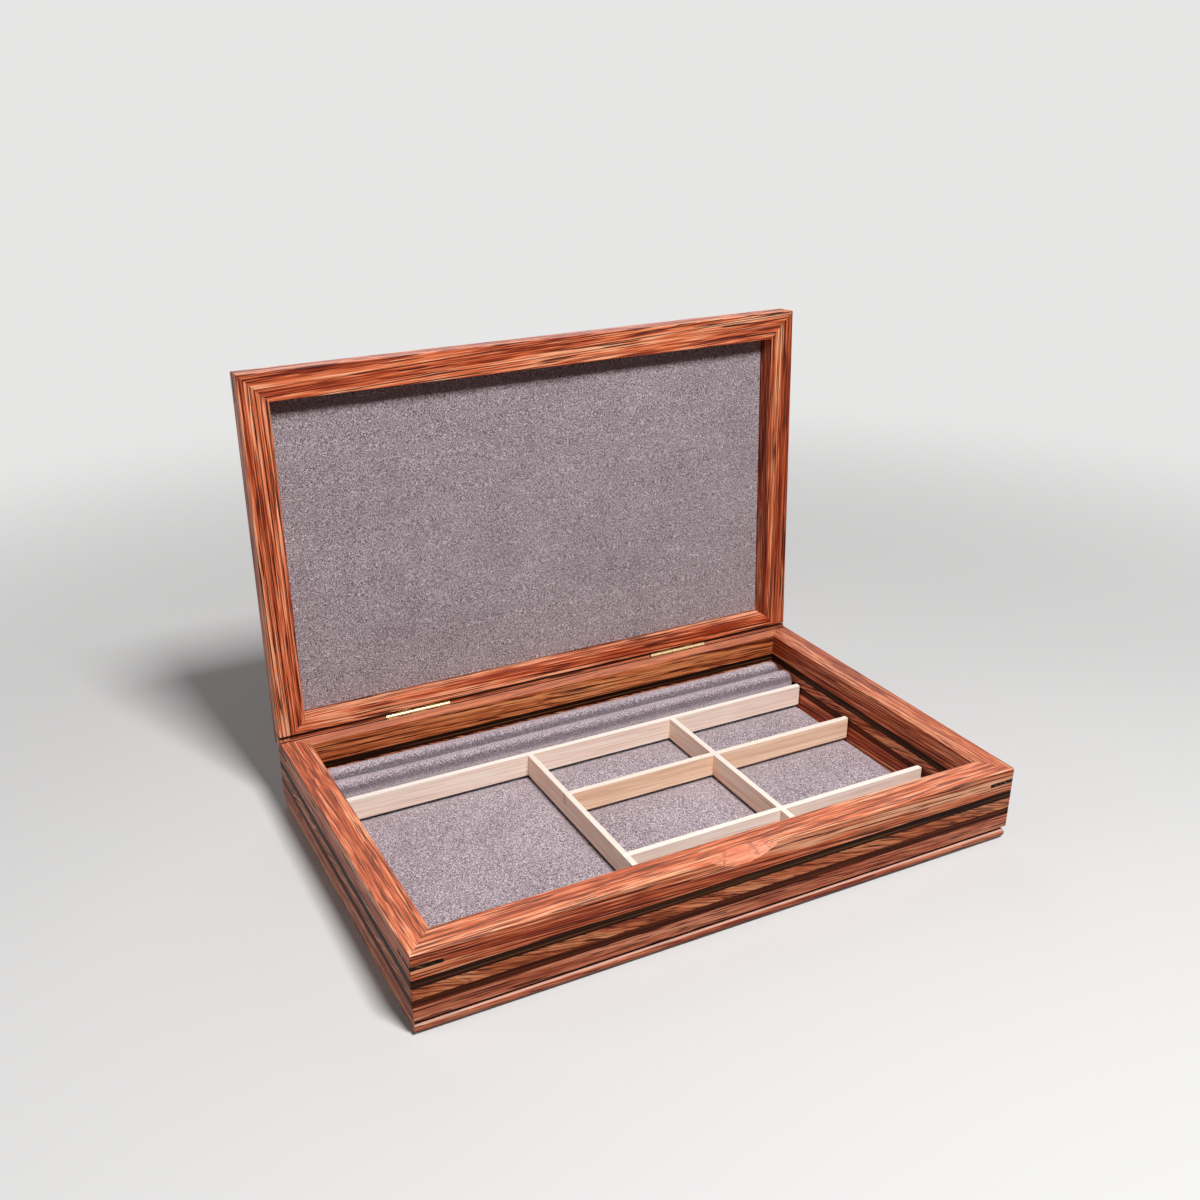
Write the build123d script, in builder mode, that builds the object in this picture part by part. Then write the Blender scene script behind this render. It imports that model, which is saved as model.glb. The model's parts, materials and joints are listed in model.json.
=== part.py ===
import os
from math import cos, radians, sin, sqrt, tan

from build123d import *

# Valet box: a shallow laminated case whose felt-lined lid stands open on two small hinges.
# Millimetres. Origin at the centre of the underside, +X to the right, +Y to the hinged back, +Z up.
os.makedirs("parts", exist_ok=True)

# Case
case_width = 330.0
case_depth = 204.0
wall = 14.6
top_band = 12.7
upper_stripe = 4.4
middle_band = 5.8
lower_stripe = 4.1
bottom_band = 15.4
corner_radius = 0.6  # softening of the upright mitred corners
rim_easing = 0.5  # softening of the long edges round the rim

# Half-round bead along the foot, set off by a narrow groove
bead_height = 6.9
bead_inset = 0.4
groove_height = 1.1

# Bottom panel and padded floor
bottom_panel_thickness = 3.2
bottom_panel_lap = 6.0
panel_fit = 0.2
floor_pad_thickness = 4.3
floor_pad_gap = 0.5
floor_pad_roll = 3.8
floor_pad_corner = 5.0

# Keys let in across the mitres
key_reach = 15.0
case_key_thickness = 2.0
case_key_drop = 6.8  # from the rim to the middle of a key
lid_key_thickness = 1.8
lid_key_drop = 4.5  # from the lid's outer face to the middle of a key

# Finger scoop in the front rim
scoop_length = 37.6
scoop_depth = 4.5

# Lid
lid_thickness = 13.2
lid_rail = 15.2
lid_panel_thickness = 2.8
lid_panel_lap = 5.0
lid_felt_thickness = 0.9
lid_felt_gap = 0.3
lid_open_angle = 93.2
lid_edge_round = 1.0

# Hinges
hinge_setback = 5.1  # axis to the back face
closing_gap = 0.3
case_kerf_depth = 5.0  # saw kerfs along the hinged edges, one in each rim
lid_kerf_depth = 6.8
hinge_length = 38.1
hinge_spacing = 170.6
barrel_radius = 1.5
pin_radius = 0.7
pin_running_clearance = 0.05
pin_seat_clearance = 0.02
knuckle_count = 5
knuckle_gap = 0.2
leaf_thickness = 0.8
leaf_offset = 1.55  # axis to the middle of a leaf, and of the kerfs
leaf_reach = 9.0
leaf_fit = 0.1
knuckle_drop = 0.45  # axis to where the leaves' strips to the knuckles begin
barrel_clearance = 0.3

# Divider grid
divider_thickness = 3.2
divider_height = 13.4
divider_end_gap = 0.9
divider_easing = 0.3
lap_clearance = 0.05
front_row = 34.0
back_row = 43.7
left_column = 114.3
centre_column = 89.3
seat_clearance = 0.3  # loose pieces above the padded floor

# Ring rolls
ring_board_thickness = 2.0
ring_roll_width = 13.25
ring_roll_height = 18.7
ring_roll_gap = 0.4
ring_roll_end_gap = 0.9
ring_roll_end_radius = 4.5

# Levels and faces that follow from the sizes above
case_height = bottom_band + lower_stripe + middle_band + upper_stripe + top_band
inner_width = case_width - 2 * wall
inner_depth = case_depth - 2 * wall
seat_level = bottom_panel_thickness + floor_pad_thickness + seat_clearance
hinge_y = case_depth / 2 - hinge_setback
hinge_z = case_height + closing_gap / 2
hinge_centres = {"left": -hinge_spacing / 2, "right": hinge_spacing / 2}
slot_width = leaf_thickness + 2 * leaf_fit
slot_length = hinge_length + 2 * barrel_clearance

# Directions of the open lid: away from the hinges, and from its outer face to its rim
lid_run = Vector(0, -cos(radians(lid_open_angle)), sin(radians(lid_open_angle)))
lid_inward = Vector(1, 0, 0).cross(lid_run)
lid_hinge_frame = Plane(origin=(0, hinge_y, hinge_z), x_dir=(1, 0, 0), z_dir=lid_inward)
lid_centre = lid_hinge_frame.from_local_coords((0, hinge_y, -closing_gap / 2 - lid_thickness))
lid_frame = Plane(origin=lid_centre, x_dir=(1, 0, 0), z_dir=lid_inward)


def save(builder, name):
    builder.part.label = name
    export_step(builder.part, f"parts/{name}.step")


def turned(base, angle):
    """The same frame turned about its normal, which brings another side of the box to the front."""
    return Plane(base.location * Rot(Z=angle))


def section(base, length, breadth):
    """Upright section at the start of the front side: from the outer face inwards, and from the base up."""
    return Plane(base.location * Pos(-length / 2, -breadth / 2, 0) * Plane.YZ.location)


def side_plan(length, breadth, thickness):
    """Plan of the front side of a mitred frame."""
    RectangleRounded(length, breadth, corner_radius)
    outer = [(-length / 2, -breadth / 2), (length / 2, -breadth / 2)]
    inner = [(length / 2 - thickness, thickness - breadth / 2), (thickness - length / 2, thickness - breadth / 2)]
    Polygon(*outer, *inner, align=None, mode=Mode.INTERSECT)


def key_plans(length, breadth):
    """Plans of the two keys that run into the front side from its corners."""
    for end in (-1, 1):
        corner = (end * length / 2, -breadth / 2)
        along = (end * (length / 2 - key_reach), -breadth / 2)
        back = (end * length / 2, key_reach - breadth / 2)
        Polygon(corner, along, back, align=None)


def key_plan(length, breadth):
    """Plan of one key, cut to the rounded corner."""
    corner = (-length / 2, -breadth / 2)
    along = (key_reach - length / 2, -breadth / 2)
    back = (-length / 2, key_reach - breadth / 2)
    RectangleRounded(length, breadth, corner_radius)
    Polygon(corner, along, back, align=None, mode=Mode.INTERSECT)


def hinge_edge(kerf_depth):
    """Stop bevel behind the hinge axis and saw kerf before it, in section: forwards, and out of the rim."""
    bevel = radians(lid_open_angle / 2)
    half_gap = closing_gap / 2
    start = half_gap * tan(bevel / 2)
    far = 2 * hinge_setback
    foot = -(far * sin(bevel) + half_gap) / cos(bevel)
    Polygon((start, -half_gap), (start, far), (-far, far), (-far, foot), align=None)
    with Locations((leaf_offset, -half_gap)):
        Rectangle(slot_width, 2 * kerf_depth)


def hinge_mortise():
    """Room for a hinge's barrel and leaf, in the same section."""
    Circle(barrel_radius + barrel_clearance)
    with Locations((leaf_offset, 0)):
        Rectangle(slot_width, 2 * (leaf_reach + leaf_fit))


# Laminated walls: each side is a stack of five layers, mitred at the corners
sides = {"front": 0, "right": 90, "back": 180, "left": 270}
plain_layers = {
    "lower_stripe": (bottom_band, lower_stripe),
    "middle_band": (bottom_band + lower_stripe, middle_band),
    "upper_stripe": (bottom_band + lower_stripe + middle_band, upper_stripe),
}
top_level = case_height - top_band
key_level = case_height - case_key_drop - case_key_thickness / 2
bead_radius = bead_height / 2
groove_depth = bead_inset + 0.75 * bead_radius
scoop_radius = (scoop_length**2 / 4 + scoop_depth**2) / (2 * scoop_depth)
scoop_offset = (scoop_radius - scoop_depth) / sqrt(2)

for side, angle in sides.items():
    frame = turned(Plane.XY, angle)
    length, breadth = (case_width, case_depth) if angle % 180 == 0 else (case_depth, case_width)

    for layer, (level, height) in plain_layers.items():
        with BuildPart() as plain:
            with BuildSketch(frame.offset(level)):
                side_plan(length, breadth, wall)
            extrude(amount=height)
        save(plain, f"{side}_{layer}")

    with BuildPart() as bottom:
        with BuildSketch(frame):
            side_plan(length, breadth, wall)
        extrude(amount=bottom_band)
        with BuildSketch(section(frame, length, breadth)):
            Rectangle(groove_depth, bead_height + groove_height, align=Align.MIN)
            with Locations((bead_inset + bead_radius, bead_radius)):
                Circle(bead_radius, mode=Mode.SUBTRACT)
            with Locations((wall - bottom_panel_lap, 0)):
                Rectangle(wall, bottom_panel_thickness, align=Align.MIN)
        extrude(amount=length, mode=Mode.SUBTRACT)
    save(bottom, f"{side}_bottom_band")

    with BuildPart() as top:
        with BuildSketch(section(frame, length, breadth)) as profile:
            with Locations((0, top_level)):
                Rectangle(wall, top_band, align=Align.MIN)
            fillet(profile.vertices().group_by(Axis.Y)[-1], rim_easing)
        extrude(amount=length)
        with BuildSketch(frame.offset(top_level)):
            side_plan(length, breadth, wall)
        extrude(amount=top_band, mode=Mode.INTERSECT)
        with BuildSketch(frame.offset(key_level)):
            key_plans(length, breadth)
        extrude(amount=case_key_thickness, mode=Mode.SUBTRACT)
        if side == "front":
            scoop_centre = (0, -case_depth / 2 - scoop_offset, case_height + scoop_offset)
            with BuildSketch(Plane(origin=scoop_centre, x_dir=(1, 0, 0), z_dir=(0, 1, 1))):
                Circle(scoop_radius)
            extrude(amount=scoop_radius, both=True, mode=Mode.SUBTRACT)
        else:
            with BuildSketch(Plane(origin=(case_width / 2, hinge_y, hinge_z), x_dir=(0, -1, 0), z_dir=(-1, 0, 0))):
                hinge_edge(case_kerf_depth)
            extrude(amount=case_width, mode=Mode.SUBTRACT)
        if side == "back":
            for centre in hinge_centres.values():
                mortise_start = (centre + slot_length / 2, hinge_y, hinge_z)
                with BuildSketch(Plane(origin=mortise_start, x_dir=(0, -1, 0), z_dir=(-1, 0, 0))):
                    hinge_mortise()
                extrude(amount=slot_length, mode=Mode.SUBTRACT)
    save(top, f"{side}_top_band")

# Keys across the case's mitres
corners = {"front_left": 0, "front_right": 90, "back_right": 180, "back_left": 270}
for corner, angle in corners.items():
    length, breadth = (case_width, case_depth) if angle % 180 == 0 else (case_depth, case_width)
    with BuildPart() as key:
        with BuildSketch(turned(Plane.XY, angle).offset(key_level)):
            key_plan(length, breadth)
        extrude(amount=case_key_thickness)
    save(key, f"case_key_{corner}")

# Bottom panel, let in flush under the walls
with BuildPart() as bottom_panel:
    with BuildSketch():
        panel_allowance = 2 * (bottom_panel_lap - panel_fit)
        Rectangle(inner_width + panel_allowance, inner_depth + panel_allowance)
    extrude(amount=bottom_panel_thickness)
save(bottom_panel, "bottom_panel")

# Padded floor with rolled edges
with BuildPart() as floor_pad:
    with BuildSketch(Plane.XY.offset(bottom_panel_thickness)):
        RectangleRounded(inner_width - 2 * floor_pad_gap, inner_depth - 2 * floor_pad_gap, floor_pad_corner)
    extrude(amount=floor_pad_thickness)
    fillet(floor_pad.edges().group_by(Axis.Z)[-1], floor_pad_roll)
save(floor_pad, "floor_pad")

# Divider grid: front faces of the cross pieces and left faces of the fore-and-aft pieces
bay_front = inner_depth / 2 - 2 * ring_roll_width - 3 * ring_roll_gap
back_face = bay_front - divider_thickness
middle_face = back_face - back_row - divider_thickness
front_face = front_row - inner_depth / 2
left_face = left_column - inner_width / 2
right_face = left_face + divider_thickness + centre_column
lap_width = divider_thickness + 2 * lap_clearance
lap_height = divider_height / 2

with BuildPart() as divider_back:
    with BuildSketch(Plane.XY.offset(seat_level)):
        with Locations((0, back_face)):
            Rectangle(inner_width - 2 * divider_end_gap, divider_thickness, align=(Align.CENTER, Align.MIN))
    extrude(amount=divider_height)
    fillet(divider_back.edges().filter_by(Axis.X).group_by(Axis.Z)[-1], divider_easing)
save(divider_back, "divider_back")

for name, face in {"divider_left": left_face, "divider_right": right_face}.items():
    divider_start = divider_end_gap - inner_depth / 2
    with BuildPart() as lengthwise:
        with BuildSketch(Plane.XY.offset(seat_level)):
            with Locations((face, divider_start)):
                Rectangle(divider_thickness, back_face - divider_start, align=Align.MIN)
        extrude(amount=divider_height)
        fillet(lengthwise.edges().filter_by(Axis.Y).group_by(Axis.Z)[-1], divider_easing)
        with BuildSketch(Plane.XY.offset(seat_level + lap_height)):
            with Locations([(face, y - lap_clearance) for y in (front_face, middle_face)]):
                Rectangle(2 * divider_thickness, lap_width, align=(Align.CENTER, Align.MIN))
        extrude(amount=lap_height, mode=Mode.SUBTRACT)
    save(lengthwise, name)

for name, face in {"divider_front": front_face, "divider_middle": middle_face}.items():
    divider_run = inner_width / 2 - divider_end_gap - left_face
    with BuildPart() as crosswise:
        with BuildSketch(Plane.XY.offset(seat_level)):
            with Locations((left_face, face)):
                Rectangle(divider_run, divider_thickness, align=Align.MIN)
        extrude(amount=divider_height)
        fillet(crosswise.edges().filter_by(Axis.X).group_by(Axis.Z)[-1], divider_easing)
        with BuildSketch(Plane.XY.offset(seat_level)):
            with Locations([(x - lap_clearance, face) for x in (left_face, right_face)]):
                Rectangle(lap_width, 2 * divider_thickness, align=(Align.MIN, Align.CENTER))
        extrude(amount=lap_height, mode=Mode.SUBTRACT)
    save(crosswise, name)

# Ring rolls on their backing board, behind the back divider
roll_length = inner_width - 2 * ring_roll_end_gap
roll_faces = {"ring_roll_front": bay_front + ring_roll_gap}
roll_faces["ring_roll_back"] = roll_faces["ring_roll_front"] + ring_roll_width + ring_roll_gap
roll_level = seat_level + ring_board_thickness
roll_radius = ring_roll_width / 2

with BuildPart() as ring_board:
    with BuildSketch(Plane.XY.offset(seat_level)):
        with Locations((0, roll_faces["ring_roll_front"])):
            Rectangle(roll_length, 2 * ring_roll_width + ring_roll_gap, align=(Align.CENTER, Align.MIN))
    extrude(amount=ring_board_thickness)
save(ring_board, "ring_board")

for name, face in roll_faces.items():
    with BuildPart() as roll:
        with BuildSketch(Plane.YZ.offset(-roll_length / 2)):
            with Locations((face, roll_level)):
                Rectangle(ring_roll_width, ring_roll_height - roll_radius, align=Align.MIN)
            with Locations((face + roll_radius, roll_level + ring_roll_height - roll_radius)):
                Circle(roll_radius)
        extrude(amount=roll_length)
        end_faces = roll.faces().filter_by(Axis.X)
        fillet(end_faces.edges().filter_by(GeomType.CIRCLE), ring_roll_end_radius)
    save(roll, name)

# Hinge leaves: X along the pin, Y along the leaf away from the pin, Z from the pin to the leaf
knuckle_length = (hinge_length - (knuckle_count - 1) * knuckle_gap) / knuckle_count
knuckle_pitch = knuckle_length + knuckle_gap
leaf_root = barrel_radius + barrel_clearance
leaf_frames = {"case_leaf": (Vector(-1, 0, 0), Vector(0, -1, 0)), "lid_leaf": (Vector(1, 0, 0), lid_run)}
leaf_knuckles = {"case_leaf": (-2, 0, 2), "lid_leaf": (-1, 1)}
leaf_clearance = {"case_leaf": pin_seat_clearance, "lid_leaf": pin_running_clearance}

for hinge, centre in hinge_centres.items():
    for leaf_name, (x_dir, z_dir) in leaf_frames.items():
        frame = Plane(origin=(centre, hinge_y, hinge_z), x_dir=x_dir, z_dir=z_dir)
        knuckle_places = [place * knuckle_pitch for place in leaf_knuckles[leaf_name]]
        with BuildPart(frame) as leaf:
            with BuildSketch(frame.offset(leaf_offset - leaf_thickness / 2)):
                with Locations((0, leaf_root)):
                    Rectangle(hinge_length, leaf_reach - leaf_root, align=(Align.CENTER, Align.MIN))
                with Locations([(place, knuckle_drop) for place in knuckle_places]):
                    Rectangle(knuckle_length, leaf_root - knuckle_drop, align=(Align.CENTER, Align.MIN))
            extrude(amount=leaf_thickness)
            with Locations([(place, 0) for place in knuckle_places]):
                Cylinder(barrel_radius, knuckle_length, rotation=(0, 90, 0))
            bore = pin_radius + leaf_clearance[leaf_name]
            Cylinder(bore, hinge_length, rotation=(0, 90, 0), mode=Mode.SUBTRACT)
        save(leaf, f"{hinge}_hinge_{leaf_name}")

    with BuildPart(Plane(origin=(centre, hinge_y, hinge_z))) as pin:
        Cylinder(pin_radius, hinge_length, rotation=(0, 90, 0))
    save(pin, f"{hinge}_hinge_pin")

# Lid frame: mitred rails and stiles round a rabbeted panel, seen from the lid's outer face
lid_sides = {"back_rail": 0, "right_stile": 90, "front_rail": 180, "left_stile": 270}
lid_key_level = lid_key_drop - lid_key_thickness / 2

for side, angle in lid_sides.items():
    frame = turned(lid_frame, angle)
    length, breadth = (case_width, case_depth) if angle % 180 == 0 else (case_depth, case_width)
    with BuildPart() as rail:
        with BuildSketch(section(frame, length, breadth)) as profile:
            Rectangle(lid_rail, lid_thickness, align=Align.MIN)
            fillet(profile.vertices().group_by(Axis.Y)[-1], rim_easing)
            fillet(profile.vertices().group_by(Axis.Y)[0].sort_by(Axis.X)[0], lid_edge_round)
            with Locations((lid_rail - lid_panel_lap, 0)):
                Rectangle(lid_rail, lid_panel_thickness, align=Align.MIN, mode=Mode.SUBTRACT)
        extrude(amount=length)
        with BuildSketch(frame):
            side_plan(length, breadth, lid_rail)
        extrude(amount=lid_thickness, mode=Mode.INTERSECT)
        with BuildSketch(frame.offset(lid_key_level)):
            key_plans(length, breadth)
        extrude(amount=lid_key_thickness, mode=Mode.SUBTRACT)
        if side != "front_rail":
            edge_start = Pos(-case_width / 2, 0, 0) * Plane.YZ.location
            with BuildSketch(Plane(lid_hinge_frame.location * edge_start)):
                hinge_edge(lid_kerf_depth)
            extrude(amount=case_width, mode=Mode.SUBTRACT)
        if side == "back_rail":
            for centre in hinge_centres.values():
                mortise_start = Pos(centre - slot_length / 2, 0, 0) * Plane.YZ.location
                with BuildSketch(Plane(lid_hinge_frame.location * mortise_start)):
                    hinge_mortise()
                extrude(amount=slot_length, mode=Mode.SUBTRACT)
    save(rail, f"lid_{side}")

lid_corners = {"back_left": 0, "back_right": 90, "front_right": 180, "front_left": 270}
for corner, angle in lid_corners.items():
    length, breadth = (case_width, case_depth) if angle % 180 == 0 else (case_depth, case_width)
    with BuildPart() as key:
        with BuildSketch(turned(lid_frame, angle).offset(lid_key_level)):
            key_plan(length, breadth)
        extrude(amount=lid_key_thickness)
    save(key, f"lid_key_{corner}")

# Lid panel and its felt lining
lid_opening_width = case_width - 2 * lid_rail
lid_opening_depth = case_depth - 2 * lid_rail
with BuildPart() as lid_panel:
    with BuildSketch(lid_frame):
        lid_allowance = 2 * (lid_panel_lap - panel_fit)
        Rectangle(lid_opening_width + lid_allowance, lid_opening_depth + lid_allowance)
    extrude(amount=lid_panel_thickness)
save(lid_panel, "lid_panel")

with BuildPart() as lid_felt:
    with BuildSketch(lid_frame.offset(lid_panel_thickness)):
        Rectangle(lid_opening_width - 2 * lid_felt_gap, lid_opening_depth - 2 * lid_felt_gap)
    extrude(amount=lid_felt_thickness)
save(lid_felt, "lid_felt")
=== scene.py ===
import json
import math

import bmesh
import bpy
from mathutils import Matrix, Vector, noise


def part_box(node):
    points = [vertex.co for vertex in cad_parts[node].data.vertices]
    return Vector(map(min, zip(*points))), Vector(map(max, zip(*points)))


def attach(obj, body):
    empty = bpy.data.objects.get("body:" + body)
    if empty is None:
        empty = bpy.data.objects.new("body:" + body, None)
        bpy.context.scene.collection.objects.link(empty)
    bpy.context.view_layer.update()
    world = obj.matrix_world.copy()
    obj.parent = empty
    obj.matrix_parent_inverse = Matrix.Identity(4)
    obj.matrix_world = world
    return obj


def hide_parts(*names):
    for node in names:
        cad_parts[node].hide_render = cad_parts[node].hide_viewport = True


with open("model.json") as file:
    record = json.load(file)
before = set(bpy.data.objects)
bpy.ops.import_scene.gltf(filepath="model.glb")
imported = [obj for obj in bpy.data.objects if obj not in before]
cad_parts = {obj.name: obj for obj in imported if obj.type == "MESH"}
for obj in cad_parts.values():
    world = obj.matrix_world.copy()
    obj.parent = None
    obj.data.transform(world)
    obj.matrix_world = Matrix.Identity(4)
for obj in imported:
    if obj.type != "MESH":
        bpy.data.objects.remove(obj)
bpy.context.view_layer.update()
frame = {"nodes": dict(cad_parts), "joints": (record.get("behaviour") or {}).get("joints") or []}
nodes = frame["nodes"]
print("frame loaded with", len(nodes), "nodes")

mm = 0.001
along, back, up = Vector((1, 0, 0)), Vector((0, 1, 0)), Vector((0, 0, 1))

# The lid stands open: its run goes from the hinges to the free edge, its inward side is the felt's
lidHinge = next(joint for joint in frame["joints"] if joint["name"] == "lid_hinge")
openAngle = math.radians(lidHinge["range_deg"][1])
lidRun = Vector((0, -math.cos(openAngle), math.sin(openAngle)))
lidInward = along.cross(lidRun)


class Value:
    # an output of a node; sums with it add Math nodes
    def __init__(self, graph, socket):
        self.graph = graph
        self.socket = socket

    def worked(self, operation, first, second):
        return self.graph.add("ShaderNodeMath", {"operation": operation}, {0: first, 1: second})

    def __add__(self, other):
        return self.worked("ADD", self, other)

    def __radd__(self, other):
        return self.worked("ADD", other, self)

    def __sub__(self, other):
        return self.worked("SUBTRACT", self, other)

    def __rsub__(self, other):
        return self.worked("SUBTRACT", other, self)

    def __mul__(self, other):
        return self.worked("MULTIPLY", self, other)

    def __rmul__(self, other):
        return self.worked("MULTIPLY", other, self)

    def __truediv__(self, other):
        return self.worked("DIVIDE", self, other)

    def __gt__(self, other):
        return self.worked("GREATER_THAN", self, other)

    def __lt__(self, other):
        return self.worked("LESS_THAN", self, other)

    def __abs__(self):
        return self.worked("ABSOLUTE", self, 0)


class Graph:
    # a node tree being laid out; add() makes one node and gives back one of its outputs
    def __init__(self, tree):
        self.tree = tree

    def add(self, kind, settings=None, sockets=None, output=0):
        node = self.tree.nodes.new(kind)
        for name, value in (settings or {}).items():
            if name == "stops":
                for place, (position, tint) in enumerate(value):
                    elements = node.color_ramp.elements
                    stop = elements[place] if place < 2 else elements.new(position)
                    stop.position = position
                    stop.color = (*tint, 1)
            else:
                setattr(node, name, value)
        for name, value in (sockets or {}).items():
            if isinstance(value, Value):
                self.tree.links.new(value.socket, node.inputs[name])
            else:
                node.inputs[name].default_value = value
        return Value(self, node.outputs[output])

    def vector(self, operation, *parts):
        return self.add("ShaderNodeVectorMath", {"operation": operation}, dict(enumerate(parts)))

    def mixed(self, factor, first, second, blend="MIX"):
        colours = {0: factor, 6: colour(first), 7: colour(second)}
        return self.add("ShaderNodeMix", {"data_type": "RGBA", "blend_type": blend}, colours, 2)

    def cloud(self, at, stretch, detail=2.0, output=0):
        place = self.vector("MULTIPLY", at, stretch)
        sockets = {"Vector": place, "Scale": 1.0, "Detail": detail, "Roughness": 0.55}
        return self.add("ShaderNodeTexNoise", {}, sockets, output)

    def within(self, low, high, soft):
        # 1 inside a box of the object's own coordinates, 0 outside it
        middle, reach = (Vector(low) + Vector(high)) / 2, (Vector(high) - Vector(low)) / 2
        away = self.vector("SUBTRACT", self.add("ShaderNodeTexCoord", {}, {}, "Object"), middle)
        x, y, z = self.split(self.vector("SUBTRACT", self.vector("ABSOLUTE", away), reach))
        furthest = x.worked("MAXIMUM", x, y.worked("MAXIMUM", y, z))
        return 1 - self.between(furthest, -soft, soft)

    def split(self, place):
        node = self.add("ShaderNodeSeparateXYZ", {}, {0: place}).socket.node
        return [Value(self, socket) for socket in node.outputs]

    def between(self, value, low, high, first=0.0, last=1.0):
        sockets = {0: value, 1: low, 2: high, 3: first, 4: last}
        return self.add("ShaderNodeMapRange", {"interpolation_type": "SMOOTHSTEP"}, sockets)


def colour(value):
    return value if isinstance(value, Value) else (*value, 1)


def newFinish(name):
    material = bpy.data.materials.new(name)
    material.use_nodes = True
    material.node_tree.nodes.clear()
    return material, Graph(material.node_tree)


def finished(graph, shader, kind):
    output = graph.tree.nodes.new(f"ShaderNodeOutput{kind}")
    graph.tree.links.new(shader.socket, output.inputs["Surface"])


def surface(graph, fixed, colourValue, roughness, height, depth):
    normal = graph.add("ShaderNodeBump", {}, {"Strength": 1.0, "Distance": depth, "Height": height})
    sockets = {"Base Color": colourValue, "Roughness": roughness, "Normal": normal, **fixed}
    shader = graph.add("ShaderNodeBsdfPrincipled", {}, sockets)
    finished(graph, shader, "Material")


def onPiece(graph, axes, offset):
    # object coordinates turned so that X follows the fibres and Y climbs the face
    turn = Matrix(axes).to_euler()
    place = graph.add("ShaderNodeTexCoord", {}, {}, "Object")
    return graph.add("ShaderNodeMapping", {}, {"Vector": place, "Rotation": turn, "Location": offset})


def fibres(run, climb, slope):
    # slope is how many degrees the fibres fall away from the board's edge
    turn = math.radians(slope)
    fibre = run * math.cos(turn) - climb * math.sin(turn)
    rise = climb * math.cos(turn) + run * math.sin(turn)
    return fibre, rise, fibre.cross(rise)


# noise scales of the wood along and across its fibres, per metre
grain = {"tone": (4, 130), "streak": (13, 620), "fibre": (40, 1900), "fade": (13, 420), "pore": (28, 1300)}
# how much each figure weighs in the ground colour, in the height and in the roughness
figure = {"tone": 0.34, "streak": 0.28, "fibre": 0.38}
relief = {"fibre": 0.5, "streak": 0.4, "pores": 0.7, "lines": 0.3}
dullness = {"pores": 0.15, "streak": 0.1}
# noise values between which a mark comes in
comesIn = {
    "fade": (0.38, 0.54),
    "line": (0.60, 0.84),
    "line's end": (0.87, 0.96),
    "pore": (0.57, 0.64),
    "ribbon": (0.42, 0.60),
}
# the growth lines' direction across the fibres, and how far each board's seed moves its figure
yearAcross = (0.8, 0.6)
seedStep = (0.37, 0.083, 0.131)
wavesAcross = 40
ribbonWaver, ribbonCore = 0.0012, 0.3
patchEdge = 0.12 * mm


def wood(name, look, axes, seed):
    material, graph = newFinish(name)
    at = onPiece(graph, axes, [step * seed for step in seedStep])
    # the fibres wander a little along the board
    reach = look["wander"]
    wander = graph.cloud(at, (look["waves"], wavesAcross, wavesAcross), 1.0, 1)
    at = graph.vector("MULTIPLY_ADD", wander, (0, reach, reach), at)
    wide, long = 1 / look["width"], 1 / look["length"]

    def drawn(kind, detail=2.0):
        run, across = grain[kind]
        return graph.cloud(at, (run * long, across * wide, across * wide), detail)

    tone, streak, fibre = drawn("tone"), drawn("streak"), drawn("fibre")
    body = tone * figure["tone"] + streak * figure["streak"] + fibre * figure["fibre"]
    ground = graph.add("ShaderNodeValToRGB", {"stops": look["ground"]}, {0: body})
    # growth lines: crisp on one side, soft on the other, fading in and out along the board
    sunk = graph.split(at)
    year = (sunk[1] * yearAcross[0] + sunk[2] * yearAcross[1]) / look["years"] + tone * look["swirl"]
    year = year.worked("FRACT", year, 0)
    fade = graph.between(drawn("fade", 1.0), *comesIn["fade"])
    lines = graph.between(year, *comesIn["line"]) * (1 - graph.between(year, *comesIn["line's end"]))
    lines = lines * fade * look["lines"]
    pores = graph.between(drawn("pore", 1.0), *comesIn["pore"]) * look["pores"]
    tinted = graph.mixed(lines, ground, look["dark"])
    tinted = graph.mixed(pores, tinted, look["dark"])
    place = graph.split(graph.add("ShaderNodeTexCoord", {}, {}, "Object"))
    if "ribbon" in look:
        # a lighter heart streak at one level of a dark board
        level, half, tint = look["ribbon"]
        off = abs(place[2] + ribbonWaver * (tone - 0.5) - level)
        ribbon = 1 - graph.between(off, half * ribbonCore, half)
        tinted = graph.mixed(ribbon * graph.between(streak, *comesIn["ribbon"]), tinted, tint)
    for low, high, tint, share in look.get("patches", []):
        tinted = graph.mixed(graph.within(low, high, patchEdge) * share, tinted, tint)
    roughness = look["roughness"] + dullness["pores"] * pores - dullness["streak"] * (streak - 0.5)
    height = fibre * relief["fibre"] + streak * relief["streak"]
    height = height - relief["pores"] * pores - relief["lines"] * lines
    fixed = {"Coat Weight": look["coat"], "Coat Roughness": 0.25, "Specular IOR Level": look["shine"]}
    surface(graph, fixed, tinted, roughness, height, look["depth"])
    return material


redWood = {
    "ground": [
        (0.42, (0.27, 0.032, 0.010)),
        (0.47, (0.58, 0.112, 0.038)),
        (0.52, (0.84, 0.225, 0.095)),
        (0.58, (1.0, 0.50, 0.29)),
    ],
    "dark": (0.045, 0.004, 0.002),
    "width": 1.0,
    "length": 1.0,
    "years": 1.9 * mm,
    "swirl": 1.3,
    "waves": 9,
    "wander": 0.0008,
    "lines": 1.0,
    "pores": 0.95,
    "roughness": 0.42,
    "shine": 0.16,
    "coat": 0.03,
    "depth": 0.00010,
}
rosyWood = {
    **redWood,
    "ground": [
        (0.42, (0.30, 0.052, 0.024)),
        (0.47, (0.50, 0.120, 0.055)),
        (0.52, (0.64, 0.190, 0.095)),
        (0.58, (0.82, 0.32, 0.18)),
    ],
    "length": 0.6,
    "lines": 0.5,
}
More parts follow.
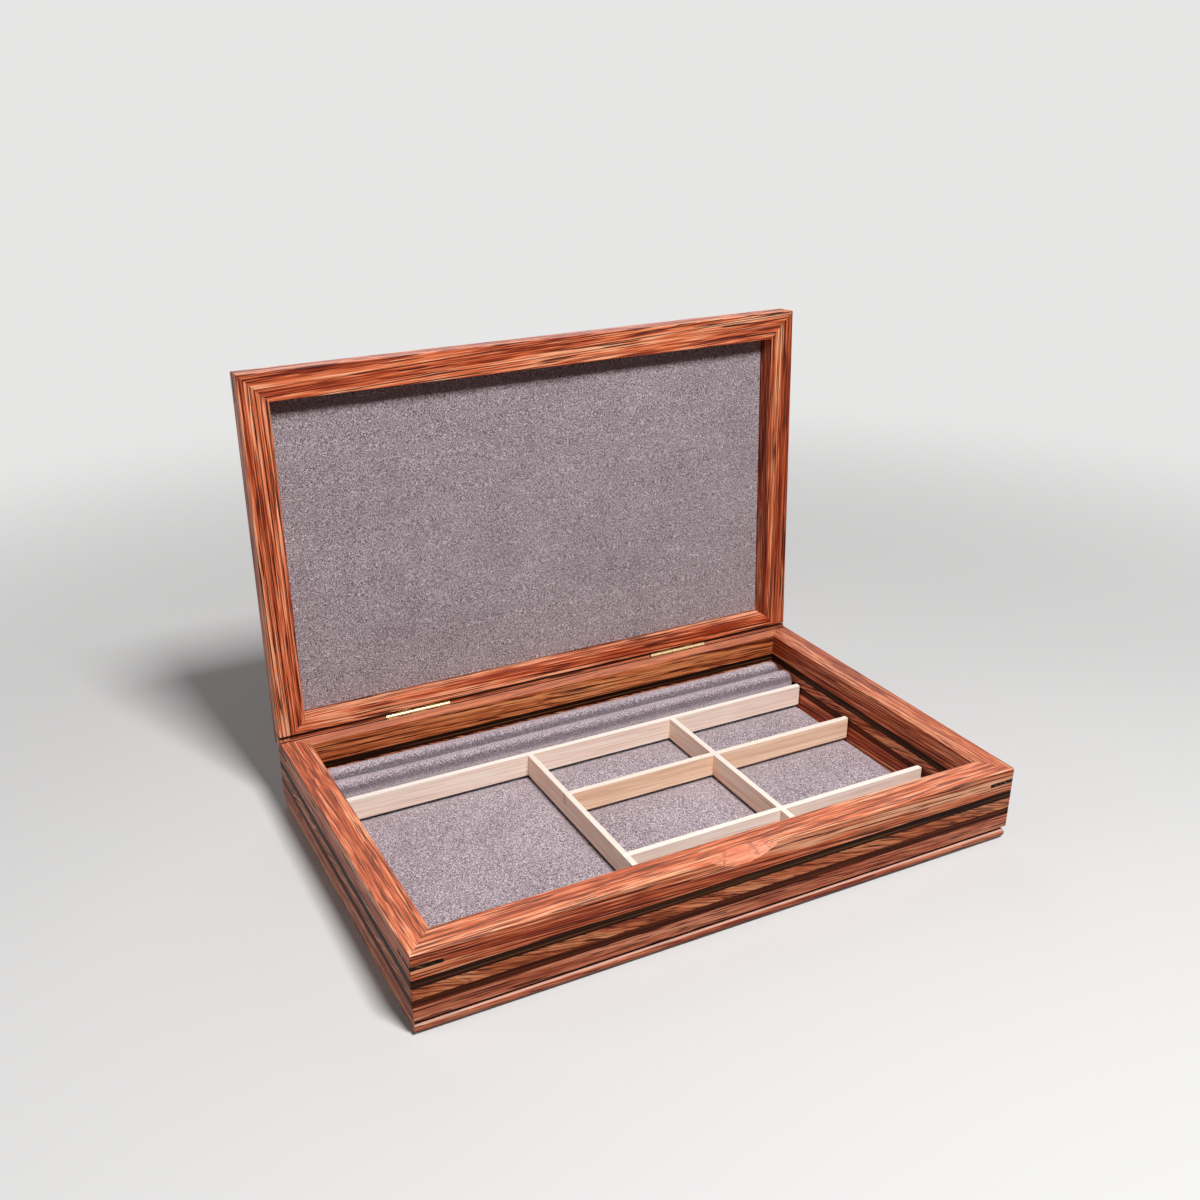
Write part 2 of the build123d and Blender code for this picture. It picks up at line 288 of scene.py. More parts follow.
feathered = {
    **redWood,
    "ground": [
        (0.42, (0.24, 0.040, 0.012)),
        (0.47, (0.46, 0.105, 0.034)),
        (0.52, (0.66, 0.190, 0.075)),
        (0.58, (0.84, 0.34, 0.155)),
    ],
    "length": 0.55,
    "years": 1.5 * mm,
    "swirl": 2.6,
    "waves": 24,
    "wander": 0.0032,
}
deepWood = {
    **redWood,
    "ground": [
        (0.42, (0.20, 0.022, 0.006)),
        (0.47, (0.42, 0.070, 0.020)),
        (0.52, (0.60, 0.130, 0.045)),
        (0.58, (0.92, 0.38, 0.19)),
    ],
}
orangeWood = {
    **redWood,
    "ground": [
        (0.42, (0.20, 0.030, 0.008)),
        (0.47, (0.42, 0.092, 0.024)),
        (0.52, (0.56, 0.155, 0.048)),
        (0.58, (0.78, 0.29, 0.11)),
    ],
    "years": 3.0 * mm,
    "swirl": 2.2,
    "waves": 16,
    "wander": 0.0026,
}
darkWood = {
    **redWood,
    "ground": [
        (0.40, (0.008, 0.003, 0.002)),
        (0.50, (0.022, 0.007, 0.004)),
        (0.58, (0.052, 0.018, 0.008)),
        (0.66, (0.12, 0.050, 0.022)),
    ],
    "dark": (0.004, 0.002, 0.002),
    "length": 2.5,
    "shine": 0.05,
    "coat": 0.0,
}
brownWood = {
    **darkWood,
    "ground": [(0.41, (0.040, 0.008, 0.004)), (0.50, (0.080, 0.017, 0.007)), (0.59, (0.15, 0.036, 0.015))],
    "dark": (0.022, 0.005, 0.003),
}
paleWood = {
    **redWood,
    "ground": [(0.40, (0.88, 0.66, 0.54)), (0.50, (0.98, 0.79, 0.67)), (0.60, (1.0, 0.90, 0.80))],
    "dark": (0.56, 0.36, 0.25),
    "lines": 0.22,
    "pores": 0.22,
    "roughness": 0.5,
    "coat": 0.0,
    "depth": 0.00004,
}
tanWood = {
    **paleWood,
    "ground": [(0.40, (0.78, 0.49, 0.32)), (0.50, (0.92, 0.63, 0.44)), (0.60, (1.0, 0.77, 0.58))],
}
# painted light: a warmer copy of the pale wood for the side dividers, standing in for the warm light on
# their shaded side faces
warmLitWood = {
    **paleWood,
    "ground": [(0.40, (0.88, 0.60, 0.45)), (0.50, (0.98, 0.74, 0.59)), (0.60, (1.0, 0.86, 0.72))],
}
keyWood = {
    **darkWood,
    "ground": [(0.42, (0.006, 0.003, 0.002)), (0.52, (0.020, 0.010, 0.006)), (0.60, (0.15, 0.080, 0.048))],
    "lines": 0.0,
    "length": 0.10,
    "width": 1.6,
}


nap = {"Sheen Weight": 0.25, "Sheen Roughness": 0.5, "Specular IOR Level": 0.15}
# tufts are coarser than flecks by this share, and clouds are as wide as this many to a metre
tuftShare, cloudScale = 0.45, 40
# how much the flecks, tufts and clouds weigh in the shade, and the first two in the height
shading = {"fleck": 0.76, "tuft": 0.24, "cloud": 0.05}
pile = {"fleck": 0.6, "tuft": 0.4}
# the rolls' painted shade below the crest: how ragged its edge is, where it fades out again and what is left
# of it there
creaseShadeEdge = {"ragged": 0.004, "gone": 4 * mm, "going": mm, "left": 0.3}


def felt(name, look):
    material, graph = newFinish(name)
    at = graph.add("ShaderNodeTexCoord", {}, {}, "Object")
    small, large = 1 / look["fleck"], tuftShare / look["fleck"]
    fleck = graph.cloud(at, (small, small, small), 2.0)
    tuft = graph.cloud(at, (large, large, large), 1.0)
    cloudy = graph.cloud(at, [cloudScale] * 3, 2.0)
    shade = fleck * shading["fleck"] + tuft * shading["tuft"] + shading["cloud"] * (cloudy - 0.5)
    heather = graph.add("ShaderNodeValToRGB", {"stops": look["heather"]}, {0: shade})
    if "worn side" in look:
        # painted shade: darker below the crest of a roll, towards the crease between the rolls, and lighter
        # again lower down
        low, high, tint = look["worn side"]
        height = graph.split(at)[2] + creaseShadeEdge["ragged"] * (tuft - 0.5)
        shadeBelowCrest = graph.between(height, low, high, 1.0, 0.0)
        gone, going = low - creaseShadeEdge["gone"], low - creaseShadeEdge["going"]
        shadeKept = graph.between(height, gone, going, creaseShadeEdge["left"], 1.0)
        heather = graph.mixed(shadeBelowCrest * shadeKept, heather, tint, "MULTIPLY")
    height = fleck * pile["fleck"] + tuft * pile["tuft"]
    surface(graph, nap, heather, look["roughness"], height, look["depth"])
    return material


feltLook = {
    "heather": [
        (0.38, (0.080, 0.058, 0.066)),
        (0.465, (0.27, 0.208, 0.232)),
        (0.535, (0.50, 0.410, 0.450)),
        (0.62, (0.98, 0.88, 0.94)),
    ],
    "fleck": 0.00041,
    "roughness": 0.95,
    "depth": 0.0003,
}
# painted shade: a darker copy of the felt, for the upright lid liner
shadedFelt = {
    **feltLook,
    "heather": [
        (0.38, (0.090, 0.067, 0.074)),
        (0.465, (0.23, 0.180, 0.196)),
        (0.535, (0.40, 0.330, 0.354)),
        (0.62, (0.78, 0.700, 0.735)),
    ],
}
brassLook = {
    "colour": (0.93, 0.71, 0.38),
    "tarnish": (0.55, 0.34, 0.14),
    "dull": (0.10, 0.060, 0.030),
    "barrel": 1.505 * mm,
    "barrel edge": 0.03 * mm,
    "brushing": (400, 9000, 9000),
    "spots": 350,
    "spot": (0.52, 0.68),
    "spotted": 0.5,
    "roughness": 0.24,
    "rougher": {"brushed": 0.2, "spots": 0.15, "leaf": 0.35},
    "depth": 0.00002,
}


def brass(name, look):
    material, graph = newFinish(name)
    at = graph.add("ShaderNodeTexCoord", {}, {}, "Object")
    brushed = graph.cloud(at, look["brushing"], 2.0)
    spots = graph.between(graph.cloud(at, [look["spots"]] * 3, 3.0), *look["spot"])
    tinted = graph.mixed(spots * look["spotted"], look["colour"], look["tarnish"])
    # painted shade and tarnish: the leaves are darkened where they sit in the wood, outside the barrels
    off = graph.vector("SUBTRACT", graph.vector("MULTIPLY", at, (0, 1, 1)), (0, *lidHinge["pos_m"][1:]))
    out = graph.add("ShaderNodeVectorMath", {"operation": "LENGTH"}, {0: off}, 1)
    leaf = graph.between(out, look["barrel"], look["barrel"] + look["barrel edge"])
    tinted = graph.mixed(leaf, tinted, look["dull"])
    rougher = look["rougher"]
    roughness = look["roughness"] + rougher["brushed"] * (brushed - 0.5)
    roughness = roughness + rougher["spots"] * spots + rougher["leaf"] * leaf
    surface(graph, {"Metallic": 1.0}, tinted, roughness, brushed, look["depth"])
    return material


def dress(piece, material):
    piece.data.materials.clear()
    piece.data.materials.append(material)


# Walls: each side is a stack of five boards whose fibres follow the side
sideRuns = {"front": along, "right": back, "back": along, "left": back}
layers = {
    "bottom_band": (rosyWood, 2),
    "lower_stripe": (brownWood, 1),
    "middle_band": (feathered, 12),
    "upper_stripe": (darkWood, 1),
    "top_band": (redWood, 1.5),
}
# painted shade in the groove over the bead and in the saw kerfs
paintedShade = (0.016, 0.004, 0.003)
kerfShare = 0.92
groove, bead = (5.75 * mm, 8.02 * mm), (4.8 * mm, 5.7 * mm)
kerf = {"near": 0.95 * mm, "far": 2.15 * mm, "case": 5 * mm, "lid": 6.8 * mm}
kerf.update({"spread": 0.25 * mm, "mouth": 0.1 * mm})
hingeY, hingeZ = lidHinge["pos_m"][1:]
caseKerf = (
    (-1, hingeY - kerf["far"], hingeZ - kerf["case"]),
    (1, hingeY - kerf["near"], hingeZ + kerf["mouth"]),
)
lidKerf = (
    (-1, hingeY - kerf["mouth"], hingeZ + kerf["near"] - kerf["spread"]),
    (1, hingeY + kerf["lid"], hingeZ + kerf["far"] + kerf["spread"]),
)
# painted light: a highlight on the bead's shoulder and lighter top faces on the rims; the finger scoop is
# handled wood and lighter; the shares say how far
paintedLightAndScoop = {
    "bead": ((1.0, 0.62, 0.48), 0.68),
    "rim": ((1.0, 0.42, 0.28), 0.16),
    "back rim": ((1.0, 0.42, 0.28), 0.34),
    "scoop": ((0.84, 0.28, 0.16), 0.66),
}
rimDepth = 0.45 * mm
scoop = {"half": 19 * mm, "reach": 7 * mm, "skin": 0.15 * mm}
heart = {"level": 0.38, "half": 0.65 * mm, "tint": (0.12, 0.045, 0.017)}


def grooveBox(side, low, high, start, end):
    # a strip along the outer face of a bottom board
    low, high = Vector((low.x, low.y, start)), Vector((high.x, high.y, end))
    depth = 3.6 * mm
    if side in ("front", "left"):
        axis = 1 if side == "front" else 0
        high[axis] = low[axis] + depth
    else:
        axis = 1 if side == "back" else 0
        low[axis] = high[axis] - depth
    return low, high


seed = 0
for side, run in sideRuns.items():
    for layer, (look, slope) in layers.items():
        seed += 1
        if look in (redWood, rosyWood):
            look = {"back": orangeWood, "right": deepWood}.get(side, look)
        name = f"{side}_{layer}"
        low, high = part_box(name)
        if layer == "upper_stripe":
            level = low.z * (1 - heart["level"]) + high.z * heart["level"]
            look = {**look, "ribbon": (level, heart["half"], heart["tint"])}
        if layer == "bottom_band":
            # painted highlight on the bead's upper shoulder, and painted shade in the groove over it
            shine = (*grooveBox(side, low, high, *bead), *paintedLightAndScoop["bead"])
            look = {**look, "patches": [shine, (*grooveBox(side, low, high, *groove), paintedShade, 1.0)]}
        if layer == "top_band":
            # painted light on the rim's top face
            paintedRimLight = paintedLightAndScoop["back rim" if side == "back" else "rim"]
            marks = [((-1, -1, high.z - rimDepth), (1, 1, high.z + mm), *paintedRimLight)]
            if side == "front":
                skin, reach = scoop["skin"], scoop["reach"]
                near = (-scoop["half"], low.y + skin, high.z - reach)
                far = (scoop["half"], low.y + reach, high.z - skin)
                marks.append((near, far, *paintedLightAndScoop["scoop"]))
            else:
                # painted shade in the saw kerf
                marks.append((*caseKerf, paintedShade, kerfShare))
            look = {**look, "patches": marks}
        dress(nodes[name], wood(name, look, fibres(run, up, slope), seed))

# Lid frame and panel, seen with the lid's own directions
lidBoards = {
    "lid_back_rail": (along, lidRun, 1),
    "lid_front_rail": (along, lidRun, -2),
    "lid_left_stile": (lidRun, along, 1),
    "lid_right_stile": (lidRun, along, -1),
    "lid_panel": (along, lidRun, 2),
}
for name, (run, climb, slope) in lidBoards.items():
    seed += 1
    look = deepWood if name == "lid_right_stile" else redWood
    if name != "lid_panel":
        # painted shade in the saw kerf
        look = {**look, "patches": [(*lidKerf, paintedShade, kerfShare)]}
    dress(nodes[name], wood(name, look, fibres(run, climb, slope), seed))
dress(nodes["bottom_panel"], wood("bottom_panel", redWood, fibres(along, back, 1), 40))

keySlope = 35
keyFinish = {"case_key": wood("case_key", keyWood, fibres(along, up, keySlope), 41)}
keyFinish["lid_key"] = wood("lid_key", keyWood, fibres(lidRun, along, keySlope), 42)
for name, node in nodes.items():
    for kind, finish in keyFinish.items():
        if name.startswith(kind):
            dress(node, finish)

# Dividers and the board under the rolls
dividerRuns = {"back": along, "middle": along, "front": along, "left": back, "right": back}
# painted highlight on the top edges, and painted shade at the foot where a divider sits in the felt
paintedTopHighlight = {"depth": 0.35 * mm, "tint": (1.0, 0.96, 0.88), "share": 0.7}
paintedFootShade = {"height": 0.6 * mm, "share": 0.95}
for name, run in dividerRuns.items():
    seed += 1
    low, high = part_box(f"divider_{name}")
    look = {"middle": tanWood, "left": warmLitWood, "right": warmLitWood}.get(name, paleWood)
    edge = (-1, -1, high.z - paintedTopHighlight["depth"]), (1, 1, high.z + mm)
    foot = (-1, -1, low.z - mm), (1, 1, low.z + paintedFootShade["height"])
    marks = [(*edge, paintedTopHighlight["tint"], paintedTopHighlight["share"]), (*foot, paintedShade, paintedFootShade["share"])]
    look = {**look, "patches": marks}
    dress(nodes[f"divider_{name}"], wood(f"divider_{name}", look, fibres(run, up, 1), seed))
dress(nodes["ring_board"], wood("ring_board", paleWood, fibres(along, up, 0), 50))

brassFinish = brass("hinge_brass", brassLook)
for name, node in nodes.items():
    if "_hinge_" in name:
        dress(node, brassFinish)
feltFinish = felt("grey_felt", feltLook)
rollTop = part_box("ring_roll_front")[1].z
rollFelt = {
    **feltLook,
    "heather": [
        (0.38, (0.24, 0.190, 0.208)),
        (0.465, (0.42, 0.345, 0.375)),
        (0.535, (0.58, 0.490, 0.525)),
        (0.62, (0.88, 0.79, 0.84)),
    ],
    # painted shade below each roll's crest, towards the crease
    "worn side": (rollTop - 3.0 * mm, rollTop - 0.5 * mm, (0.38, 0.36, 0.38)),
}
rollFinish = felt("roll_grey_felt", rollFelt)
linerFinish = felt("lid_grey_felt", shadedFelt)
print("finishes laid on the wooden and brass parts")


padding = {"pressure": 5.0, "frames": 20, "quality": 5}


def puffed(mesh, held, cap):
    # cloth blown up from inside: the held corners stay, and none moves further than cap
    holder = bpy.data.objects.new("puffing", mesh)
    bpy.context.scene.collection.objects.link(holder)
    holder.vertex_groups.new(name="held").add(held, 1.0, "REPLACE")
    cloth = holder.modifiers.new("cloth", "CLOTH")
    cloth.settings.quality = padding["quality"]
    cloth.settings.vertex_group_mass = "held"
    cloth.settings.use_pressure = True
    cloth.settings.uniform_pressure_force = padding["pressure"]
    cloth.settings.effector_weights.gravity = 0
    cloth.point_cache.frame_start, cloth.point_cache.frame_end = 1, padding["frames"]
    for moment in range(1, padding["frames"] + 1):
        bpy.context.scene.frame_set(moment)
    swollen = holder.evaluated_get(bpy.context.evaluated_depsgraph_get()).data.vertices
    steps = [there.co - here.co for there, here in zip(swollen, mesh.vertices)]
    bpy.data.objects.remove(holder)
    bpy.context.scene.frame_set(1)
    for corner, step in zip(mesh.vertices, steps):
        corner.co += step * min(1, cap / max(step.length, 1e-9))
    return mesh


def smoothed(mesh):
    # one round of subdivision
    holder = bpy.data.objects.new(mesh.name, mesh)
    bpy.context.scene.collection.objects.link(holder)
    holder.modifiers.new("smooth", "SUBSURF").levels = 1
    made = bpy.data.meshes.new_from_object(holder.evaluated_get(bpy.context.evaluated_depsgraph_get()))
    bpy.data.objects.remove(holder)
    return made


def pieceFrom(name, mesh, material, body, slotName, *replaced):
    piece = bpy.data.objects.new(name, mesh)
    bpy.context.scene.collection.objects.link(piece)
    dress(piece, material)
    mesh.polygons.foreach_set("use_smooth", [True] * len(mesh.polygons))
    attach(piece, body)
    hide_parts(*replaced)
    return piece


rollSteps = 6


def gridLines(size, roll, step):
    # places across a sheet, closer together where its edge rolls over
    half = size / 2
    turns = [turn * math.pi / (2 * rollSteps) for turn in range(rollSteps + 1)]
    edge = [half - roll * (1 - math.cos(turn)) for turn in turns]
    count = max(1, round(2 * edge[-1] / step))
    middle = [edge[-1] * (1 - 2 * place / count) for place in range(1, count)]
    return [-place for place in edge] + [-place for place in middle] + edge[::-1]


def rolledSheet(name, size, look, rise):
    # a flat closed body with a rolled upper edge and rounded corners, on the plane Z = 0
    width, depth, thickness = size
    roll, corner, brim = look["roll"], look["corner"], look["brim"]
    mesh = bmesh.new()
    rows = []
    for y in gridLines(depth, roll, look["step"]):
        row = []
        for x in gridLines(width, roll, look["step"]):
            out = Vector((abs(x) - width / 2 + corner, abs(y) - depth / 2 + corner))
            beyond = Vector((max(out.x, 0), max(out.y, 0)))
            inset = corner - beyond.length - min(max(out.x, out.y), 0)
            px, py = x, y
            if inset < 0:
                beyond = beyond.normalized() * corner
                px = math.copysign(width / 2 - corner + beyond.x, x)
                py = math.copysign(depth / 2 - corner + beyond.y, y)
                inset = 0
            share = min(inset / roll, 1)
            z = brim + (thickness - brim) * math.sqrt(1 - (1 - share) ** 2)
            row.append(mesh.verts.new((px, py, z + share * rise(px, py))))
        rows.append(row)
    for lower, upper in zip(rows, rows[1:]):
        for place in range(len(lower) - 1):
            mesh.faces.new((lower[place], lower[place + 1], upper[place + 1], upper[place]))
    border = [edge for edge in mesh.edges if edge.is_boundary]
    skirt = bmesh.ops.extrude_edge_only(mesh, edges=border)["geom"]
    for vertex in [part for part in skirt if isinstance(part, bmesh.types.BMVert)]:
        vertex.co.z = 0
    foot = [part for part in skirt if isinstance(part, bmesh.types.BMEdge) and part.is_boundary]
    bmesh.ops.contextual_create(mesh, geom=foot)
    bmesh.ops.recalc_face_normals(mesh, faces=mesh.faces)
    made = bpy.data.meshes.new(name)
    mesh.to_mesh(made)
    mesh.free()
    return made


def rippled(x, y, look):
    # the slow unevenness of a flat piece
    return noise.noise(Vector((x, y, look["ripple seed"])) / look["ripple length"]) * look["ripple"]


# Padded floor: it swells a little in each bay and is pressed down along the dividers
floorPad = {
    "roll": 3.8 * mm,
    "corner": 5 * mm,
    "brim": 0.6 * mm,
    "step": 1.6 * mm,
    "panel step": 4 * mm,
    "press": 1.1 * mm,
    "pressWidth": 2.6 * mm,
    "ripple": 0.12 * mm,
    "ripple length": 0.03,
    "ripple seed": 0.3,
    "cap": 0.45 * mm,
}
padLow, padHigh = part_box("floor_pad")
padMiddle = (padLow + padHigh) / 2
footprints = [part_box(f"divider_{name}") for name in dividerRuns]


def padPress(x, y):
    # 1 under a divider, 0 away from them all
    x, y = x + padMiddle.x, y + padMiddle.y
    gaps = []
    for low, high in footprints:
        gaps.append(math.hypot(max(low.x - x, x - high.x, 0), max(low.y - y, y - high.y, 0)))
    near = min(min(gaps) / floorPad["pressWidth"], 1)
    return 1 - near * near * (3 - 2 * near)


def swelling(size, look, isHeld):
    # how high a panel of cloth swells, blown up from below and held at its border and where isHeld says
    columns, rows = [round(reach / look["panel step"]) + 1 for reach in size.xy]
    places = []
    faces = []
    held = []
    for row in range(rows):
        for column in range(columns):
            x, y = size.x * (column / (columns - 1) - 0.5), size.y * (row / (rows - 1) - 0.5)
            corner = len(places)
            places.append((x, y, 0))
            if column in (0, columns - 1) or row in (0, rows - 1) or isHeld(x, y):
                held.append(corner)
            if column and row:
                faces.append((corner - columns - 1, corner - columns, corner, corner - 1))
    panel = bpy.data.meshes.new("panel")
    panel.from_pydata(places, [], faces)
    lifts = [corner.co.z for corner in puffed(panel, held, look["cap"]).vertices]

    def lift(x, y):
        across = (x / size.x + 0.5) * (columns - 1)
        deep = (y / size.y + 0.5) * (rows - 1)
        column, row = min(int(across), columns - 2), min(int(deep), rows - 2)
        u, v = across - column, deep - row
        near = row * columns + column
        nearer = lifts[near] * (1 - u) + lifts[near + 1] * u
        further = lifts[near + columns] * (1 - u) + lifts[near + columns + 1] * u
        return nearer * (1 - v) + further * v

    return lift


padSwell = swelling(padHigh - padLow, floorPad, lambda x, y: padPress(x, y) > 0.5)


def padRise(x, y):
    press = padPress(x, y)
    return (1 - press) * (rippled(x, y, floorPad) + padSwell(x, y)) - press * floorPad["press"]


padMesh = rolledSheet("floorPad", padHigh - padLow, floorPad, padRise)
padMesh.transform(Matrix.Translation((padMiddle.x, padMiddle.y, padLow.z)))
pad = pieceFrom("floorPad", padMesh, feltFinish, "case", "felt", "floor_pad")
print("padded floor laid")

# Lid felt: a sheet stretched over the panel, its cut edge slightly rounded
lidFelt = {"roll": 0.6 * mm, "corner": 0.8 * mm, "brim": 0.3 * mm, "step": 4 * mm}
lidFelt.update({"ripple": 0.1 * mm, "ripple length": 0.045, "ripple seed": 1.7})


def spanOf(node, direction):
    places = [corner.co.dot(direction) for corner in nodes[node].data.vertices]
    return min(places), max(places)


spans = [spanOf("lid_felt", direction) for direction in (along, lidRun, lidInward)]
feltSize = Vector([high - low for low, high in spans])
feltFrame = Matrix((along, lidRun, lidInward)).transposed().to_4x4()
feltFrame.translation = lidRun * sum(spans[1]) / 2 + lidInward * spans[2][0]
feltMesh = rolledSheet("lidFelt", feltSize, lidFelt, lambda x, y: rippled(x, y, lidFelt))
feltMesh.transform(feltFrame)
liner = pieceFrom("lidFelt", feltMesh, linerFinish, "lid", "felt", "lid_felt")
print("lid felt laid")

# Ring rolls: a round-topped section swept along the case and closed over at its ends
ringRoll = {
    "foot radius": 1.2 * mm,
    "roundness": 0.485,
    "end radius": 5.0 * mm,
    "rings": 160,
    "around": 36,
    "arc points": 12,
    "unevenness": 0.3 * mm,
    "level": 0.62,
    "waves": 55.0,
    "seed step": 2.5,
    "held height": mm,
    "slack": 0.4 * mm,
    "cap": 0.45 * mm,
}


def rollTree(look):
    tree = bpy.data.node_groups.new("ringRoll", "GeometryNodeTree")
    wanted = {name: "Float" for name in ("length", "width", "height", "seed")}
    wanted.update({"centre": "Vector", "felt": "Material"})
    sockets = {}
    for name, kind in wanted.items():
        sockets[name] = tree.interface.new_socket(name=name, in_out="INPUT", socket_type=f"NodeSocket{kind}")
    tree.interface.new_socket(name="mesh", in_out="OUTPUT", socket_type="NodeSocketGeometry")
    graph = Graph(tree)
    given = tree.nodes.new("NodeGroupInput")
    length, width, height, seed, centre, cloth = [Value(graph, given.outputs[name]) for name in wanted]
    endRadius = look["end radius"]
    straight = length / 2 - endRadius
    # the line is as long as the section's path over both ends
    reach = straight + math.pi / 2 * endRadius
    start, end = [graph.add("ShaderNodeCombineXYZ", {}, {0: place}) for place in (0 - reach, reach)]
    line = graph.add("GeometryNodeCurvePrimitiveLine", {}, {"Start": start, "End": end})
    line = graph.add("GeometryNodeResampleCurve", {}, {"Curve": line, "Count": look["rings"]})
    section = graph.add("GeometryNodeCurvePrimitiveQuadrilateral", {}, {"Width": width, "Height": height})
    place = graph.add("GeometryNodeInputPosition")
    x, y, z = graph.split(place)
    # the profile's Y points down once it is swept along the line, so its low side is the round top
    corners = look["foot radius"] + (y < 0) * (width * look["roundness"] - look["foot radius"])
    rounding = {"Curve": section, "Count": look["arc points"], "Radius": corners, "Limit Radius": True}
    section = graph.add("GeometryNodeFilletCurve", {"mode": "POLY"}, rounding)
    section = graph.add("GeometryNodeResampleCurve", {}, {"Curve": section, "Count": look["around"]})
    swept = {"Curve": line, "Profile Curve": section, "Fill Caps": True}
    roll = graph.add("GeometryNodeCurveToMesh", {}, swept)
    beyond = abs(x) - straight
    turn = beyond * (beyond > 0) / endRadius
    inset = endRadius * (1 - turn.worked("COSINE", turn, 0))
    newX = abs(x) - beyond * (beyond > 0) + endRadius * turn.worked("SINE", turn, 0)
    newY = y * (1 - inset / (width / 2))
    newZ = z * (1 - inset / (height / 2))
    moved = graph.add("ShaderNodeCombineXYZ", {}, {0: x.worked("SIGN", x, 0) * newX, 1: newY, 2: newZ})
    roll = graph.add("GeometryNodeSetPosition", {}, {"Geometry": roll, "Position": moved})
    waves = {"Vector": place, "W": seed, "Scale": look["waves"], "Detail": 2.0}
    uneven = graph.add("ShaderNodeTexNoise", {"noise_dimensions": "4D"}, waves)
    push = (uneven - look["level"]) * look["unevenness"] * 2
    pushed = {0: graph.add("GeometryNodeInputNormal"), "Scale": push}
    lift = graph.add("ShaderNodeVectorMath", {"operation": "SCALE"}, pushed)
    roll = graph.add("GeometryNodeSetPosition", {}, {"Geometry": roll, "Offset": lift})
    roll = graph.add("GeometryNodeTransform", {}, {"Geometry": roll, "Translation": centre})
    roll = graph.add("GeometryNodeSetShadeSmooth", {}, {"Geometry": roll})
    roll = graph.add("GeometryNodeRealizeInstances", {}, {"Geometry": roll})
    roll = graph.add("GeometryNodeSetMaterial", {}, {"Geometry": roll, "Material": cloth})
    result = tree.nodes.new("NodeGroupOutput")
    tree.links.new(roll.socket, result.inputs[0])
    return tree, {name: socket.identifier for name, socket in sockets.items()}


def grown(name, tree, inputs):
    # the tree's result as a plain mesh
    holder = bpy.data.objects.new(name, bpy.data.meshes.new(name))
    bpy.context.scene.collection.objects.link(holder)
    modifier = holder.modifiers.new("grow", "NODES")
    modifier.node_group = tree
    for identifier, value in inputs.items():
        modifier[identifier] = value
    bpy.context.view_layer.update()
    mesh = bpy.data.meshes.new_from_object(holder.evaluated_get(bpy.context.evaluated_depsgraph_get()))
    bpy.data.objects.remove(holder)
    return mesh


tree, sockets = rollTree(ringRoll)
for place, name in enumerate(("front", "back")):
    low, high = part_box(f"ring_roll_{name}")
    slack = ringRoll["slack"]
    size, centre = high - low - Vector((2, 2, 1)) * slack, (high + low) / 2 - up * slack / 2
    given = {"length": size.x, "width": size.y, "height": size.z}
    given.update({"centre": centre, "seed": ringRoll["seed step"] * place, "felt": rollFinish})
    title = f"ringRoll{name.title()}"
    mesh = grown(title, tree, {sockets[key]: value for key, value in given.items()})
    foot = low.z + ringRoll["held height"]
    held = [corner.index for corner in mesh.vertices if corner.co.z < foot]
    mesh = smoothed(puffed(mesh, held, ringRoll["cap"]))
    roll = pieceFrom(title, mesh, rollFinish, "ring_insert", "roll_fabric", f"ring_roll_{name}")
    print("ring roll", name, "laid with", len(mesh.polygons), "faces")

# Room: a pale floor that keeps the shadow, soft lamps and the camera at the photograph's angle
room = {
    "floor": (0.74, 0.735, 0.73),
    "floorBounce": (0.12, 0.12, 0.12),
    "backdrop": (0.80, 0.795, 0.79),
    "near": 0.30,
    "far": 0.95,
    "half": 30.0,
    "sky": 0.05,
}
lamps = {
    "key": {"at": (0.05, -0.75, 1.25), "size": 0.30, "power": 22.0},
    "leftFill": {"at": (-1.2, 0.2, 0.40), "size": 0.6, "power": 2.5},
    "rearFill": {"at": (0.3, 1.0, 0.7), "size": 0.9, "power": 2.2},
}
view = {
    "at": (-0.29631, -0.50708, 0.38320),
    "turn": (66.6958, 0.9446, -25.4789),
    "lens": 38.179,
    "shift": 0.05771,
}
lampAim = Vector((0, 0, 0.08))


def seenDirectly(graph):
    # 1 for camera, glossy and transmission rays
    path = graph.tree.nodes.new("ShaderNodeLightPath")
    kinds = ("Camera", "Glossy", "Transmission")
    camera, glossy, through = [Value(graph, path.outputs[f"Is {kind} Ray"]) for kind in kinds]
    return camera + glossy + through > 0.5


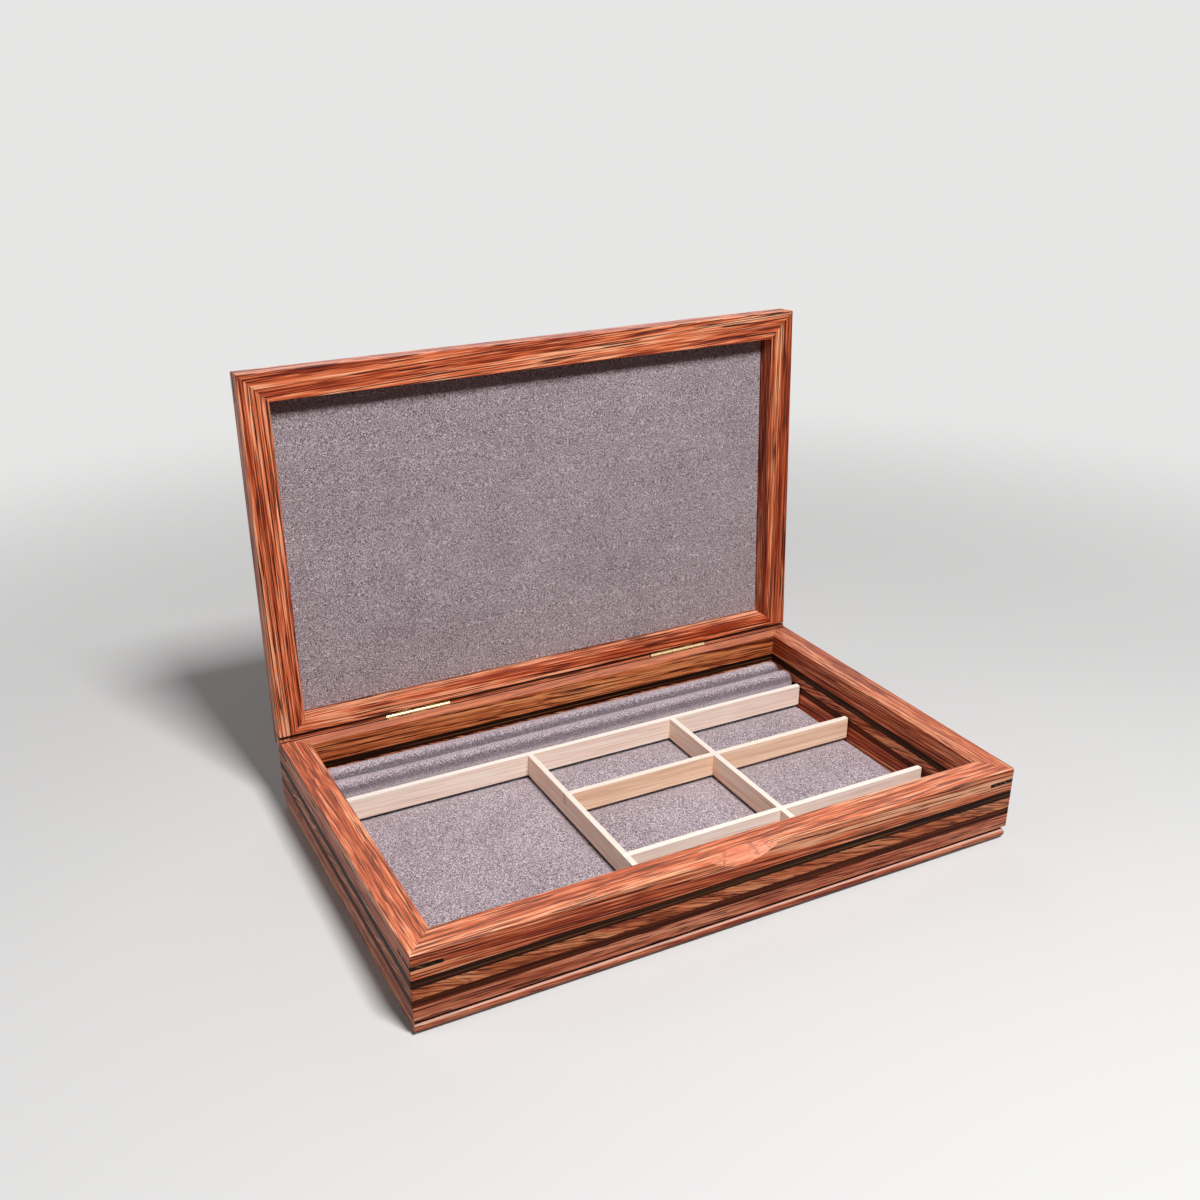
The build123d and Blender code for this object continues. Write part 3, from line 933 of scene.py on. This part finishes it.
floorMesh = bpy.data.meshes.new("floor")
half = room["half"]
corners = [(-half, -half, 0), (half, -half, 0), (half, half, 0), (-half, half, 0)]
floorMesh.from_pydata(corners, [], [(0, 1, 2, 3)])
floor = bpy.data.objects.new("floor", floorMesh)
bpy.context.scene.collection.objects.link(floor)
floorFinish, graph = newFinish("floor")
# away from the object the floor fades into the backdrop's own tone
direct = seenDirectly(graph)
place = graph.add("ShaderNodeTexCoord", {}, {}, "Object")
away = graph.add("ShaderNodeVectorMath", {"operation": "LENGTH"}, {0: place}, 1)
paint = graph.mixed(direct, room["floorBounce"], room["floor"])
shaders = [
    graph.add("ShaderNodeBsdfDiffuse", {}, {"Color": paint}),
    graph.add("ShaderNodeEmission", {}, {"Color": colour(room["backdrop"])}),
]
fade = graph.between(away, room["near"], room["far"]) * direct
finished(graph, graph.add("ShaderNodeMixShader", {}, {0: fade, 1: shaders[0], 2: shaders[1]}), "Material")
dress(floor, floorFinish)

world = bpy.data.worlds.new("room")
bpy.context.scene.world = world
world.use_nodes = True
world.node_tree.nodes.clear()
graph = Graph(world.node_tree)
paint = graph.mixed(seenDirectly(graph), [room["sky"]] * 3, room["backdrop"])
finished(graph, graph.add("ShaderNodeBackground", {}, {"Color": paint, "Strength": 1.0}), "World")

for name, look in lamps.items():
    lamp = bpy.data.lights.new(name, "AREA")
    lamp.shape = "SQUARE"
    lamp.size = look["size"]
    lamp.energy = look["power"]
    holder = bpy.data.objects.new(name, lamp)
    bpy.context.scene.collection.objects.link(holder)
    holder.location = look["at"]
    holder.rotation_euler = (lampAim - holder.location).to_track_quat("-Z", "Y").to_euler()

lens = bpy.data.cameras.new("photoView")
lens.sensor_width = 36
lens.lens = view["lens"]
lens.shift_x = view["shift"]
lens.clip_start = 0.01
camera = bpy.data.objects.new("photoView", lens)
bpy.context.scene.collection.objects.link(camera)
camera.location = view["at"]
camera.rotation_euler = [math.radians(turn) for turn in view["turn"]]
bpy.context.scene.camera = camera
bpy.context.scene.view_settings.view_transform = "Standard"
print("room, lamps and camera set")
